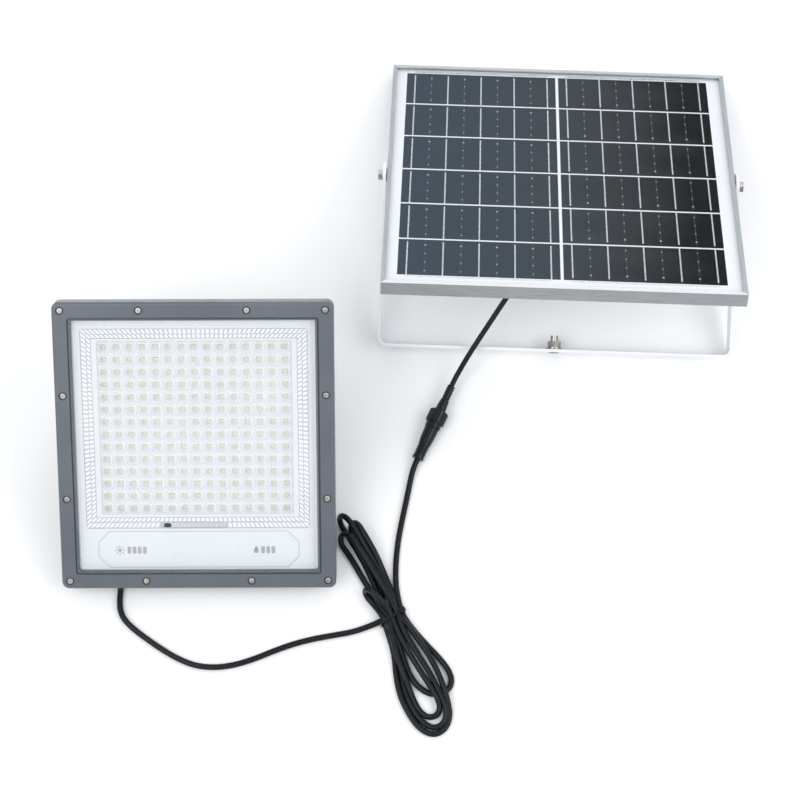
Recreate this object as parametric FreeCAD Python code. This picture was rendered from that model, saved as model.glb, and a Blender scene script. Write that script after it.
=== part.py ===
# Solar flood light kit, laid out on a flat surface at z = 0.
# A square LED flood light leans on its own U-bracket, with its lower edge on the surface.
# A square solar panel leans the other way on a second U-bracket. One cord joins the two,
# with a screw-locked plug and socket half way and the spare length tied in a hank.
# Millimetres, +Z up, +Y away from the user, +X to the right.
# The light and the panel are each drawn flat, face up, with the origin at the middle of
# the front face, +X to the right and +Y up the face, and are then set down on the surface.
import FreeCAD, Part
import math
import os

V = FreeCAD.Vector
X_AXIS = V(1, 0, 0)
Y_AXIS = V(0, 1, 0)
Z_AXIS = V(0, 0, 1)

# ---- layout on the surface ----
LIGHT_TILT = 33.7
LIGHT_YAW = 0.2
LIGHT_MID = (-205.2, -170.0)
PANEL_TILT = -25.4
PANEL_YAW = -2.15
PANEL_MID = (152.2, 127.0)

# ---- light: bezel and glass ----
LIGHT_W = 266.0
LIGHT_H = 283.0
BEZEL_DEPTH = 16.0
BEZEL_CORNER = 7.0
EDGE_ROUND = 2.8
BEZEL_SKIRT = 3.5
BEZEL_PLATE = 8.0
OPENING_W = 230.3
OPENING_H = 246.2
BEVEL_WIDTH = 1.4
BEVEL_DEPTH = 3.4
GROOVE_INSET = 0.7
GROOVE_WIDTH = 1.6
GROOVE_DEPTH = 2.2
GLASS_W = 240.0
GLASS_H = 257.0
GLASS_THICK = 3.0
SCREW_X = 125.0
SCREW_Y = 133.6
SCREW_INNER = 51.0
SCREW_HEAD_R = 2.8
SCREW_SHANK_R = 1.9
SCREW_RECESS_R = 4.0
SCREW_RECESS_DEPTH = 1.9

# ---- light: inside ----
LENS_W = 233.0
LENS_H = 250.0
LENS_THICK = 2.0
LED_COLUMNS = 15
LED_ROWS = 14
LED_PITCH_X = 12.29
LED_PITCH_Y = 12.22
LED_MID_Y = 17.2
LED_SIZE = (3.5, 2.8, 0.7)
WINDOW_MID_X = -4.5
WINDOW_Y = -79.0
BOARD_TOP = -12.0
BOARD_SIZE = (200.0, 186.0, 1.6)
SPREADER_SIZE = (206.0, 192.0, 2.0)
INDICATOR_SIZE = (70.0, 9.0, 1.4)
INDICATOR_LEDS = 5
INDICATOR_LED_SIZE = (3.2, 2.6, 1.0)
RECEIVER_SIZE = (6.0, 5.0, 1.2)
CELL_R = 9.2
CELL_LENGTH = 65.0
CELL_COUNT = 6
CELL_PITCH = 19.0
BATTERY_X = -30.0
BATTERY_Z = -26.4
TRAY_Z = (-36.8, -29.0)
CONTROLLER_MID = (66.0, 30.0)
CONTROLLER_SIZE = (46.0, 62.0, 1.6)
CONTROLLER_TOP = -31.0

# ---- light: rear housing, gland and bracket ----
FLANGE_W = 258.0
FLANGE_H = 275.0
FLANGE_BACK = -15.5
BODY_W = 232.0
BODY_H = 259.0
BODY_TAPER = 4.0
BODY_BACK = -40.0
CAVITY_W = 222.0
CAVITY_H = 245.6
WALL = 3.0
FIN_COUNT = 17
FIN_PITCH = 11.5
FIN_HEIGHT = 5.0
FIN_LENGTH = 200.0
LIGHT_PIVOT_Z = -29.0
LIGHT_ARM = 138.0
LIGHT_STRIP = (25.0, 3.0)
LIGHT_INNER_W = 238.4
LIGHT_HOLE_SPAN = 80.0
GLAND_X = -79.0
GLAND_Z = -21.5
VENT = (60.0, 112.0)

# ---- panel ----
PANEL_SIZE = 350.0
FRAME_DEPTH = 15.0
FRAME_WALL = 1.4
LIP_WIDTH = 4.2
LIP_THICK = 1.2
LEDGE_Z = -4.7
FLANGE_WIDTH = 12.0
LAMINATE = 346.0
CELL_W = 157.0
CELL_H = 52.3
CELL_GAP_X = 3.0
CELL_GAP_Y = 2.0
CELL_ROWS = 6
CELLS_MID = (-1.5, 4.0)
RIBBONS = 5
RIBBON_WIDTH = 1.1
PANEL_PIVOT_Z = -9.8
PANEL_ARM = 173.0
PANEL_STRIP = (26.0, 3.0)
PANEL_INNER_W = 352.0
PANEL_HOLE_SPANS = (60.0, 176.0)
BRACKET_BEND = 6.0
JUNCTION_MID = (-5.0, 8.0)

# ---- cords ----
PANEL_CORD_R = 2.7
LIGHT_CORD_R = 2.9
ARC_SHARE = 0.45
CENTRE_STACK = 2.2
JOIN = 28.7
PLUG_START = V(41.7, -74.6, 14.1)
PLUG_END = V(7.4, -149.2, 6.8)
HANK_HEIGHT = 11.6
TIE_MID = (-17.3, -311.6)
TIE_ANGLE = 32.8
TIE_SPAN = 26.5
TIE_WIDTH = 3.0
TIE_THICK = 1.0

PANEL_CORD_ROUTE = [
    V(145.8, 89.9, 91.7),
    V(145.3, 77.3, 97.7),
    V(140.8, 61.5, 99.0),
    V(131.5, 46.0, 94.0),
    V(119.5, 30.0, 84.0),
    V(107.0, 15.0, 72.5),
    V(94.4, -0.2, 60.5),
    V(78.7, -21.0, 48.0),
    V(66.5, -37.1, 38.0),
    V(57.4, -48.9, 28.2),
    V(50.0, -59.2, 18.8),
    V(45.4, -66.5, 14.9),
    V(41.7, -74.6, 14.1),
]

SOCKET_CORD_ROUTE = [
    V(7.4, -149.2, 6.8),
    V(3.7, -157.2, 6.0),
    V(1.0, -167.0, 4.2),
    V(-1.8, -181.2, 2.9),
    V(-5.1, -197.7, 2.9),
    V(-8.6, -214.3, 2.9),
    V(-11.6, -230.7, 2.9),
    V(-13.6, -247.2, 2.9),
    V(-14.5, -263.0, 2.9),
    V(-14.2, -279.0, 2.9),
    V(-11.0, -293.0, 2.9),
]

LAMP_CORD_ROUTE = [
    V(-283.84, -273.178, 8.441),
    V(-283.82, -278.62, 4.81),
    V(-284.0, -285.0, 2.9),
    V(-284.4, -294.5, 2.9),
    V(-283.4, -304.5, 2.9),
    V(-278.8, -313.6, 2.9),
    V(-268.7, -323.3, 2.9),
    V(-248.7, -337.9, 2.9),
    V(-228.8, -350.5, 2.9),
    V(-209.1, -358.9, 2.9),
    V(-189.7, -360.9, 2.9),
    V(-170.4, -358.3, 2.9),
    V(-151.2, -352.2, 2.9),
    V(-131.9, -344.0, 2.9),
    V(-112.6, -337.0, 2.9),
    V(-93.3, -332.1, 2.9),
    V(-73.8, -328.6, 2.9),
    V(-55.5, -325.3, 2.9),
    V(-42.0, -320.0, 2.9),
    V(-32.0, -312.5, 2.9),
    V(-24.0, -304.0, 2.9),
]

HANK_OUTLINE = [
    (-28.9, -311.0),
    (-50.0, -288.0),
    (-47.0, -279.5),
    (-59.0, -264.0),
    (-73.5, -238.0),
    (-74.0, -226.0),
    (-66.0, -204.5),
    (-47.5, -213.5),
    (-32.0, -236.0),
    (-20.0, -268.0),
    (-5.0, -298.0),
    (15.0, -333.0),
    (38.0, -358.0),
    (43.5, -375.0),
    (37.5, -395.0),
    (39.5, -409.0),
    (35.0, -422.0),
    (22.0, -430.5),
    (6.0, -426.0),
    (-9.0, -406.0),
    (-17.0, -380.0),
    (-18.5, -348.0),
    (-26.0, -322.0),
]


# ---- shapes ----
def box(x0, y0, z0, x1, y1, z1):
    low = V(min(x0, x1), min(y0, y1), min(z0, z1))
    return Part.makeBox(abs(x1 - x0), abs(y1 - y0), abs(z1 - z0), low)


def block(x, y, width, height, z0, z1):
    return box(x - width / 2, y - height / 2, z0, x + width / 2, y + height / 2, z1)


def cylinder(radius, start, end):
    return Part.makeCylinder(radius, (end - start).Length, start, end - start)


def cone(radius_a, radius_b, start, end):
    return Part.makeCone(radius_a, radius_b, (end - start).Length, start, end - start)


def hexagon(across_flats, start, end):
    axis = (end - start).normalize()
    side = axis.cross(Z_AXIS if abs(axis.z) < 0.9 else X_AXIS).normalize()
    faces = []
    for index in range(6):
        turn = FreeCAD.Rotation(axis, 60.0 * index)
        out = turn.multVec(side)
        faces.append((out, axis.cross(out)))
    corners = []
    for out, along in faces:
        corner = out * (across_flats / 2) + along * (across_flats / 2 * math.tan(math.pi / 6))
        corners.append(start + corner)
    outline = Part.makePolygon(corners + [corners[0]])
    return Part.Face(outline).extrude(end - start)


def rounded_outline(width, height, z, radius):
    x = width / 2
    y = height / 2
    flat = 1 - math.sqrt(0.5)
    edges = []
    for sx, sy, start_first in ((1, 1, False), (-1, 1, True), (-1, -1, False), (1, -1, True)):
        on_side = V(sx * x, sy * (y - radius), z)
        on_top = V(sx * (x - radius), sy * y, z)
        middle = V(sx * (x - flat * radius), sy * (y - flat * radius), z)
        first, last = (on_top, on_side) if start_first else (on_side, on_top)
        if edges:
            edges.append(Part.LineSegment(edges[-1].Vertexes[-1].Point, first).toShape())
        edges.append(Part.Arc(first, middle, last).toShape())
    edges.append(Part.LineSegment(edges[-1].Vertexes[-1].Point, edges[0].Vertexes[0].Point).toShape())
    return Part.Wire(edges)


def rounded_plate(width, height, z0, z1, radius):
    outline = rounded_outline(width, height, min(z0, z1), radius)
    return Part.Face(outline).extrude(V(0, 0, abs(z1 - z0)))


def tapered_plate(size_a, z_a, size_b, z_b, radius):
    lower = rounded_outline(size_a[0], size_a[1], z_a, radius)
    upper = rounded_outline(size_b[0], size_b[1], z_b, radius)
    return Part.makeLoft([lower, upper], True)


def ring_plate(outer, inner, z0, z1, radius):
    outside = rounded_plate(outer[0], outer[1], z0, z1, radius)
    inset = max(radius - (outer[0] - inner[0]) / 2, 0.5)
    return outside.cut(rounded_plate(inner[0], inner[1], z0 - 1, z1 + 1, inset))


def moved(shape, x, y, z):
    result = shape.copy()
    result.translate(V(x, y, z))
    return result


def group(shapes):
    return Part.makeCompound(shapes)


def cut_all(shape, tools):
    return shape.cut(group(tools)) if tools else shape


def fuse_all(shapes):
    return shapes[0].multiFuse(shapes[1:]).removeSplitter()


def revolved(profile, start, direction):
    # profile: (distance along the axis, radius) pairs that run round a half section
    points = [V(radius, 0, along) for along, radius in profile]
    face = Part.Face(Part.makePolygon(points + [points[0]]))
    solid = face.revolve(V(0, 0, 0), Z_AXIS, 360)
    solid.Placement = FreeCAD.Placement(start, FreeCAD.Rotation(Z_AXIS, direction))
    return solid


# ---- light: front ----
def screw_places():
    places = []
    for side in (-1, 1):
        for x in (-SCREW_X, -SCREW_INNER, SCREW_INNER, SCREW_X):
            places.append((x, side * SCREW_Y))
        for y in (-SCREW_INNER, SCREW_INNER):
            places.append((side * SCREW_X, y))
    return places


def front_bezel():
    body = rounded_plate(LIGHT_W, LIGHT_H, -BEZEL_DEPTH, 0, BEZEL_CORNER)
    front_edges = [edge for edge in body.Edges if edge.BoundBox.ZMin > -0.01]
    body = body.makeFillet(EDGE_ROUND, front_edges)
    mouth = tapered_plate((OPENING_W, OPENING_H), -BEVEL_DEPTH,
                          (OPENING_W + 2 * BEVEL_WIDTH, OPENING_H + 2 * BEVEL_WIDTH), 0, 2.0)
    opening = rounded_plate(OPENING_W, OPENING_H, -BEZEL_DEPTH - 1, -BEVEL_DEPTH, 2.0)
    glass_seat = rounded_plate(GLASS_W + 1, GLASS_H + 1, -BEZEL_DEPTH - 1, -BEVEL_DEPTH - 0.3, 4.0)
    back_pocket = rounded_plate(LIGHT_W - 2 * BEZEL_SKIRT, LIGHT_H - 2 * BEZEL_SKIRT,
                                -BEZEL_DEPTH - 1, -BEZEL_PLATE, BEZEL_CORNER - BEZEL_SKIRT)
    groove_w = OPENING_W + 2 * (BEVEL_WIDTH + GROOVE_INSET + GROOVE_WIDTH)
    groove_h = OPENING_H + 2 * (BEVEL_WIDTH + GROOVE_INSET + GROOVE_WIDTH)
    groove = ring_plate((groove_w, groove_h), (groove_w - 2 * GROOVE_WIDTH, groove_h - 2 * GROOVE_WIDTH),
                        -GROOVE_DEPTH, 1, 3.0)
    recesses = []
    for x, y in screw_places():
        recesses.append(cylinder(SCREW_RECESS_R, V(x, y, -SCREW_RECESS_DEPTH), V(x, y, 1)))
        recesses.append(cylinder(SCREW_SHANK_R + 0.3, V(x, y, -BEZEL_DEPTH), V(x, y, 0)))
    return cut_all(body, [mouth, opening, glass_seat, back_pocket, groove] + recesses)


def bezel_screws():
    screws = []
    for x, y in screw_places():
        head_base = V(x, y, -SCREW_RECESS_DEPTH)
        head = cylinder(SCREW_HEAD_R, head_base, V(x, y, 0.3))
        head = head.makeFillet(0.9, [edge for edge in head.Edges if edge.BoundBox.ZMin > 0.2])
        shank = cylinder(SCREW_SHANK_R, V(x, y, FLANGE_BACK + 1.0), head_base)
        cross = [block(x, y, 3.2, 0.8, -0.9, 1), block(x, y, 0.8, 3.2, -0.9, 1)]
        screws.append(cut_all(head.fuse(shank), cross))
    return group(screws)


def front_glass():
    top = -BEVEL_DEPTH - 0.35
    return rounded_plate(GLASS_W, GLASS_H, top - GLASS_THICK, top, 3.5)


def front_gasket():
    top = -BEVEL_DEPTH - 0.35 - GLASS_THICK
    return ring_plate((GLASS_W, GLASS_H), (LENS_W + 2, LENS_H + 2), -BEZEL_PLATE, top, 3.5)


def lens_plate():
    top = -BEVEL_DEPTH - 0.45 - GLASS_THICK
    plate = rounded_plate(LENS_W, LENS_H, top - LENS_THICK, top, 2.5)
    pegs = []
    for x in (-LED_PITCH_X * 6.5, LED_PITCH_X * 0.5, LED_PITCH_X * 6.5):
        for row in (-6, 6):
            place = V(x, LED_MID_Y + row * LED_PITCH_Y, top - LENS_THICK)
            pegs.append(cylinder(2.0, V(place.x, place.y, -12.0), place))
    return fuse_all([plate] + pegs)


# ---- light: lamp and electronics ----
def led_board():
    width, height, thick = BOARD_SIZE
    return block(0, LED_MID_Y, width, height, BOARD_TOP - thick, BOARD_TOP)


def led_chips():
    chips = []
    for column in range(LED_COLUMNS):
        for row in range(LED_ROWS):
            x = (column - (LED_COLUMNS - 1) / 2) * LED_PITCH_X
            y = LED_MID_Y + (row - (LED_ROWS - 1) / 2) * LED_PITCH_Y
            chips.append(block(x, y, LED_SIZE[0], LED_SIZE[1], BOARD_TOP, BOARD_TOP + LED_SIZE[2]))
    return group(chips)


def heat_spreader():
    width, height, thick = SPREADER_SIZE
    top = BOARD_TOP - BOARD_SIZE[2]
    return block(0, LED_MID_Y, width, height, top - thick, top)


def indicator_board():
    width, height, thick = INDICATOR_SIZE
    return block(WINDOW_MID_X, WINDOW_Y, width, height, BOARD_TOP, BOARD_TOP + thick)


def indicator_leds():
    width, height, thick = INDICATOR_LED_SIZE
    low = BOARD_TOP + INDICATOR_SIZE[2]
    leds = []
    for index in range(INDICATOR_LEDS):
        x = WINDOW_MID_X - 14 + 10 * index
        leds.append(block(x, WINDOW_Y, width, height, low, low + thick))
    return group(leds)


def ir_receiver():
    width, height, thick = RECEIVER_SIZE
    low = BOARD_TOP + INDICATOR_SIZE[2]
    return block(WINDOW_MID_X - 27.5, WINDOW_Y, width, height, low, low + thick)


def battery_places():
    return [BATTERY_X + (index - (CELL_COUNT - 1) / 2) * CELL_PITCH for index in range(CELL_COUNT)]


def battery_cells():
    cell = cylinder(CELL_R, V(0, 0, BATTERY_Z), V(0, CELL_LENGTH, BATTERY_Z))
    return group([moved(cell, x, 0, 0) for x in battery_places()])


def battery_holder():
    width = CELL_PITCH * CELL_COUNT + 4
    tray = block(BATTERY_X, CELL_LENGTH / 2, width, CELL_LENGTH + 6, *TRAY_Z)
    room = cylinder(CELL_R + 0.3, V(0, -0.5, BATTERY_Z), V(0, CELL_LENGTH + 0.5, BATTERY_Z))
    return cut_all(tray, [moved(room, x, 0, 0) for x in battery_places()])


def controller_board():
    x, y = CONTROLLER_MID
    width, height, thick = CONTROLLER_SIZE
    return block(x, y, width, height, CONTROLLER_TOP - thick, CONTROLLER_TOP)


def controller_parts():
    x, y = CONTROLLER_MID
    coil = cylinder(7, V(x - 6, y + 12, CONTROLLER_TOP), V(x - 6, y + 12, CONTROLLER_TOP + 9))
    chip = block(x + 6, y - 8, 12, 9, CONTROLLER_TOP, CONTROLLER_TOP + 2.4)
    plug = block(x - 14, y - 22, 8, 14, CONTROLLER_TOP, CONTROLLER_TOP + 8)
    capacitor = cylinder(4, V(x + 14, y + 16, CONTROLLER_TOP), V(x + 14, y + 16, CONTROLLER_TOP + 11))
    return group([coil, chip, plug, capacitor])


# ---- light: rear ----
def gland_seat_y():
    depth = (GLAND_Z - FLANGE_BACK) / (BODY_BACK - FLANGE_BACK)
    return -(BODY_H / 2 - BODY_TAPER * depth)


def rear_housing():
    flange = rounded_plate(FLANGE_W, FLANGE_H, FLANGE_BACK, -BEZEL_PLATE, BEZEL_CORNER - BEZEL_SKIRT)
    body = tapered_plate((BODY_W - 2 * BODY_TAPER, BODY_H - 2 * BODY_TAPER), BODY_BACK,
                         (BODY_W, BODY_H), FLANGE_BACK, 10.0)
    solids = [flange, body]
    for index in range(FIN_COUNT):
        x = (index - (FIN_COUNT - 1) / 2) * FIN_PITCH
        solids.append(block(x, 0, 2.2, FIN_LENGTH, BODY_BACK - FIN_HEIGHT, BODY_BACK + 1))
    for side in (-1, 1):
        inner = V(side * (BODY_W / 2 - 8), 0, LIGHT_PIVOT_Z)
        outer = V(side * (LIGHT_INNER_W / 2 - 0.2), 0, LIGHT_PIVOT_Z)
        solids.append(cylinder(10.5, inner, outer))
    pad_y = gland_seat_y()
    solids.append(block(GLAND_X, pad_y + 2, 22, 6, GLAND_Z - 6.0, FLANGE_BACK + 1))
    housing = fuse_all(solids)
    cuts = [rounded_plate(CAVITY_W, CAVITY_H, BODY_BACK + WALL, 0, 6.0)]
    cuts.append(rounded_plate(LENS_W + 2, LENS_H + 2, -10.0, 0, 3.0))
    for x, y in screw_places():
        cuts.append(cylinder(SCREW_SHANK_R + 0.05, V(x, y, FLANGE_BACK + 0.9), V(x, y, 0)))
    for side in (-1, 1):
        start = V(side * (BODY_W / 2 - 3), 0, LIGHT_PIVOT_Z)
        cuts.append(cylinder(3.02, start, V(side * 130, 0, LIGHT_PIVOT_Z)))
    cuts.append(cylinder(4.02, V(GLAND_X, -100, GLAND_Z), V(GLAND_X, -150, GLAND_Z)))
    cuts.append(cylinder(4.02, V(VENT[0], VENT[1], BODY_BACK - 10), V(VENT[0], VENT[1], BODY_BACK + 10)))
    housing = cut_all(housing, cuts)
    posts = []
    for x in (-98.0, 98.0):
        for y in (LED_MID_Y - 88.0, LED_MID_Y + 88.0):
            posts.append(cylinder(3.5, V(x, y, BODY_BACK + WALL - 0.5), V(x, y, -15.6)))
    return fuse_all([housing] + posts)


def breather_vent():
    stem = cylinder(4.0, V(VENT[0], VENT[1], BODY_BACK), V(VENT[0], VENT[1], BODY_BACK + WALL + 2))
    cap = cylinder(6.5, V(VENT[0], VENT[1], BODY_BACK - 4.0), V(VENT[0], VENT[1], BODY_BACK))
    return stem.fuse(cap).removeSplitter()


def light_gland():
    seat = gland_seat_y() - 1.0
    seat_face = V(GLAND_X, seat, GLAND_Z)
    collar = hexagon(10.2, seat_face, V(GLAND_X, seat - 3.5, GLAND_Z))
    dome = cone(5.0, 4.2, V(GLAND_X, seat - 3.5, GLAND_Z), V(GLAND_X, seat - 8.5, GLAND_Z))
    stem = cylinder(4.0, seat_face, V(GLAND_X, seat + 11.0, GLAND_Z))
    bore = cylinder(LIGHT_CORD_R, V(GLAND_X, seat, GLAND_Z), V(GLAND_X, seat + 12.0, GLAND_Z))
    return fuse_all([collar, dome, stem]).cut(bore)


def light_gland_nut():
    inside = -CAVITY_H / 2
    nut = hexagon(11.0, V(GLAND_X, inside, GLAND_Z), V(GLAND_X, inside + 3.0, GLAND_Z))
    return nut.cut(cylinder(4.02, V(GLAND_X, inside - 1, GLAND_Z), V(GLAND_X, inside + 4, GLAND_Z)))


# ---- U-brackets, drawn with the pivot line through the origin along X and the arms along -Y ----
def u_bracket(inner_width, arm, strip, bolt_r, holes):
    half = inner_width / 2
    width, thick = strip
    bend = BRACKET_BEND
    flat = 1 - math.sqrt(0.5)

    def outline(grow):
        x = half + grow
        low = -arm + thick - grow
        radius = bend + grow
        mid = flat * radius
        return [
            Part.LineSegment(V(-x, 0, 0), V(-x, low + radius, 0)),
            Part.Arc(V(-x, low + radius, 0), V(-x + mid, low + mid, 0), V(-x + radius, low, 0)),
            Part.LineSegment(V(-x + radius, low, 0), V(x - radius, low, 0)),
            Part.Arc(V(x - radius, low, 0), V(x - mid, low + mid, 0), V(x, low + radius, 0)),
            Part.LineSegment(V(x, low + radius, 0), V(x, 0, 0)),
        ]

    outside = [curve.toShape() for curve in outline(thick)]
    inside = [curve.toShape() for curve in outline(0)]
    ends = [Part.LineSegment(V(s * half, 0, 0), V(s * (half + thick), 0, 0)).toShape() for s in (-1, 1)]
    face = Part.Face(Part.Wire(Part.__sortEdges__(outside + inside + ends)))
    solid = face.extrude(V(0, 0, width))
    solid.translate(V(0, 0, -width / 2))
    eyes = []
    for side in (-1, 1):
        start = V(side * half, 0, 0)
        eyes.append(cylinder(width / 2, start, V(side * (half + thick), 0, 0)))
    solid = fuse_all([solid] + eyes)
    cuts = [cylinder(bolt_r, V(-half - 20, 0, 0), V(half + 20, 0, 0))]
    for x, radius in holes:
        cuts.append(cylinder(radius, V(x, -arm - 5, 0), V(x, -arm + thick + 5, 0)))
    return cut_all(solid, cuts)


def pivot_bolts(arm_face, head_depth, end, radius):
    bolts = []
    for side in (-1, 1):
        face = V(side * arm_face, 0, 0)
        head = hexagon(10.0, face, V(side * (arm_face + head_depth), 0, 0))
        shank = cylinder(radius, V(side * end, 0, 0), face)
        bolts.append(head.fuse(shank).removeSplitter())
    return group(bolts)


def side_washers(inner_x, thickness, outer_r, hole_r):
    washers = []
    for side in (-1, 1):
        start = V(side * inner_x, 0, 0)
        end = V(side * (inner_x + thickness), 0, 0)
        washers.append(cylinder(outer_r, start, end).cut(cylinder(hole_r, start, end)))
    return group(washers)


def light_bracket():
    holes = [(0, 5.0), (-LIGHT_HOLE_SPAN / 2, 4.2), (LIGHT_HOLE_SPAN / 2, 4.2)]
    return u_bracket(LIGHT_INNER_W, LIGHT_ARM, LIGHT_STRIP, 3.05, holes)


def panel_bracket():
    holes = [(0, 4.1)]
    for span, radius in zip(PANEL_HOLE_SPANS, (3.5, 4.5)):
        holes += [(-span / 2, radius), (span / 2, radius)]
    return u_bracket(PANEL_INNER_W, PANEL_ARM, PANEL_STRIP, 3.05, holes)


# ---- panel ----
def frame_rail():
    half = PANEL_SIZE / 2
    depth = -FRAME_DEPTH
    section = [V(-half, half, 0), V(-half, half, depth), V(-half, half - FLANGE_WIDTH, depth),
               V(-half, half - FLANGE_WIDTH, depth + LIP_THICK),
               V(-half, half - FRAME_WALL, depth + LIP_THICK),
               V(-half, half - FRAME_WALL, LEDGE_Z - LIP_THICK), V(-half, half - 8, LEDGE_Z - LIP_THICK),
               V(-half, half - 8, LEDGE_Z), V(-half, half - FRAME_WALL, LEDGE_Z),
               V(-half, half - FRAME_WALL, -LIP_THICK), V(-half, half - LIP_WIDTH, -LIP_THICK),
               V(-half, half - LIP_WIDTH, 0)]
    bar = Part.Face(Part.makePolygon(section + [section[0]])).extrude(V(PANEL_SIZE, 0, 0))
    reach = FLANGE_WIDTH + 2
    trapezium = [V(-half, half, depth), V(half, half, depth),
                 V(half - reach, half - reach, depth), V(-half + reach, half - reach, depth)]
    mitre = Part.Face(Part.makePolygon(trapezium + [trapezium[0]])).extrude(V(0, 0, FRAME_DEPTH))
    return bar.common(mitre)


def turned(shape, angle):
    result = shape.copy()
    result.rotate(V(0, 0, 0), Z_AXIS, angle)
    return result


def side_rail(angle):
    hole = cylinder(3.02, V(-200, 0, PANEL_PIVOT_Z), V(200, 0, PANEL_PIVOT_Z))
    return turned(frame_rail(), angle).cut(hole)


def corner_keys():
    outer = PANEL_SIZE / 2 - FRAME_WALL - 0.05
    top = LEDGE_Z - LIP_THICK - 0.05
    low = -FRAME_DEPTH + LIP_THICK + 0.05
    arm_x = box(outer - 26, outer - 6, low, outer, outer, top)
    arm_y = box(outer - 6, outer - 26, low, outer, outer, top)
    key = arm_x.fuse(arm_y).removeSplitter()
    return group([turned(key, angle) for angle in (0, 90, 180, 270)])


def panel_glass():
    return block(0, 0, LAMINATE, LAMINATE, -3.75, -1.25)


def cell_places():
    places = []
    for column in (-1, 1):
        for row in range(CELL_ROWS):
            x = CELLS_MID[0] + column * (CELL_W + CELL_GAP_X) / 2
            y = CELLS_MID[1] + (row - (CELL_ROWS - 1) / 2) * (CELL_H + CELL_GAP_Y)
            places.append((x, y))
    return places


def solar_cells():
    return group([block(x, y, CELL_W, CELL_H, -4.05, -3.9) for x, y in cell_places()])


def cell_ribbons():
    strips = []
    for x, y in cell_places():
        for index in range(RIBBONS):
            offset = (4 * index + 1) / 18.0 - 0.5
            strips.append(block(x + offset * CELL_W, y, RIBBON_WIDTH, CELL_H + 1.0, -3.9, -3.78))
    span = CELL_W * 16.0 / 18.0 + RIBBON_WIDTH
    edge = CELL_ROWS * (CELL_H + CELL_GAP_Y) / 2 + 1.2
    for column in (-1, 1):
        x = CELLS_MID[0] + column * (CELL_W + CELL_GAP_X) / 2
        for side in (-1, 1):
            strips.append(block(x, CELLS_MID[1] + side * edge, span, 1.4, -3.9, -3.78))
    return group(strips)


def panel_backsheet():
    return block(0, 0, LAMINATE, LAMINATE, -4.65, -4.06)


def junction_box():
    x, y = JUNCTION_MID
    shell = block(x, y, 64, 62, -21.0, -4.65)
    room = block(x, y, 58, 56, -22.0, -6.65)
    hole = cylinder(4.02, V(x, y - 40, -13.2), V(x, y - 20, -13.2))
    posts = [cylinder(3.0, V(px, py, -21.0), V(px, py, -6.0)) for px, py in lid_screw_places()]
    holes = [cylinder(1.3, V(px, py, -22.0), V(px, py, -12.0)) for px, py in lid_screw_places()]
    return cut_all(fuse_all([cut_all(shell, [room, hole])] + posts), holes)


def lid_screw_places():
    x, y = JUNCTION_MID
    return [(x + sx * 26.6, y + sy * 25.6) for sx in (-1, 1) for sy in (-1, 1)]


def junction_lid():
    x, y = JUNCTION_MID
    lid = block(x, y, 64, 62, -23.0, -21.0)
    holes = [cylinder(1.6, V(px, py, -24), V(px, py, -20)) for px, py in lid_screw_places()]
    return cut_all(lid, holes)


def junction_lid_screws():
    screws = []
    for x, y in lid_screw_places():
        head = cylinder(2.6, V(x, y, -24.6), V(x, y, -23.0))
        shank = cylinder(1.25, V(x, y, -23.0), V(x, y, -13.0))
        slot = block(x, y, 6.0, 0.8, -25.0, -23.9)
        screws.append(head.fuse(shank).removeSplitter().cut(slot))
    return group(screws)


def junction_diode():
    x, y = JUNCTION_MID
    body = cylinder(2.6, V(x - 5, y + 8, -10.0), V(x + 5, y + 8, -10.0))
    leads = cylinder(0.7, V(x - 15, y + 8, -10.0), V(x + 15, y + 8, -10.0))
    return fuse_all([body, leads])


def junction_gland():
    x, y = JUNCTION_MID
    wall = y - 31.0
    stem = cylinder(4.0, V(x, wall, -13.2), V(x, wall + 7, -13.2))
    collar = hexagon(12.0, V(x, wall, -13.2), V(x, wall - 4, -13.2))
    dome = cone(5.4, 4.2, V(x, wall - 4, -13.2), V(x, wall - 12, -13.2))
    bore = cylinder(PANEL_CORD_R, V(x, wall, -13.2), V(x, wall + 8, -13.2))
    return fuse_all([stem, collar, dome]).cut(bore)


def pivot_nut_plates():
    plates = []
    inner = PANEL_SIZE / 2 - FRAME_WALL
    for side in (-1, 1):
        plate = box(side * (inner - 3.0), -15, PANEL_PIVOT_Z - 3.6, side * inner, 15, PANEL_PIVOT_Z + 3.6)
        hole = cylinder(3.02, V(side * 150, 0, PANEL_PIVOT_Z), V(side * 180, 0, PANEL_PIVOT_Z))
        plates.append(plate.cut(hole))
    return group(plates)


# ---- centre bolt of the panel bracket, in the bracket's own frame ----
def centre_bolt():
    seat = -PANEL_ARM
    head = cone(4.6, 6.5, V(0, seat - 1.4, 0), V(0, seat, 0))
    shank = cylinder(4.0, V(0, seat, 0), V(0, seat + 16.4, 0))
    return head.fuse(shank).removeSplitter()


def centre_washers():
    seat = -PANEL_ARM + PANEL_STRIP[1]
    flat = cylinder(8.0, V(0, seat, 0), V(0, seat + 0.9, 0))
    spring = cylinder(6.8, V(0, seat + 0.9, 0), V(0, seat + CENTRE_STACK, 0))
    hole = cylinder(4.02, V(0, seat - 1, 0), V(0, seat + 6, 0))
    slit = box(3, -400, -0.4, 9, 400, 0.4)
    return group([flat.cut(hole), spring.cut(hole).cut(slit)])


def centre_nut():
    seat = -PANEL_ARM + PANEL_STRIP[1] + CENTRE_STACK
    nut = hexagon(13.0, V(0, seat, 0), V(0, seat + 5.5, 0))
    return nut.cut(cylinder(4.02, V(0, seat - 1, 0), V(0, seat + 8, 0)))


# ---- plug and socket, along their own axis ----
def plug_axis():
    return (PLUG_END - PLUG_START).normalize()


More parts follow.
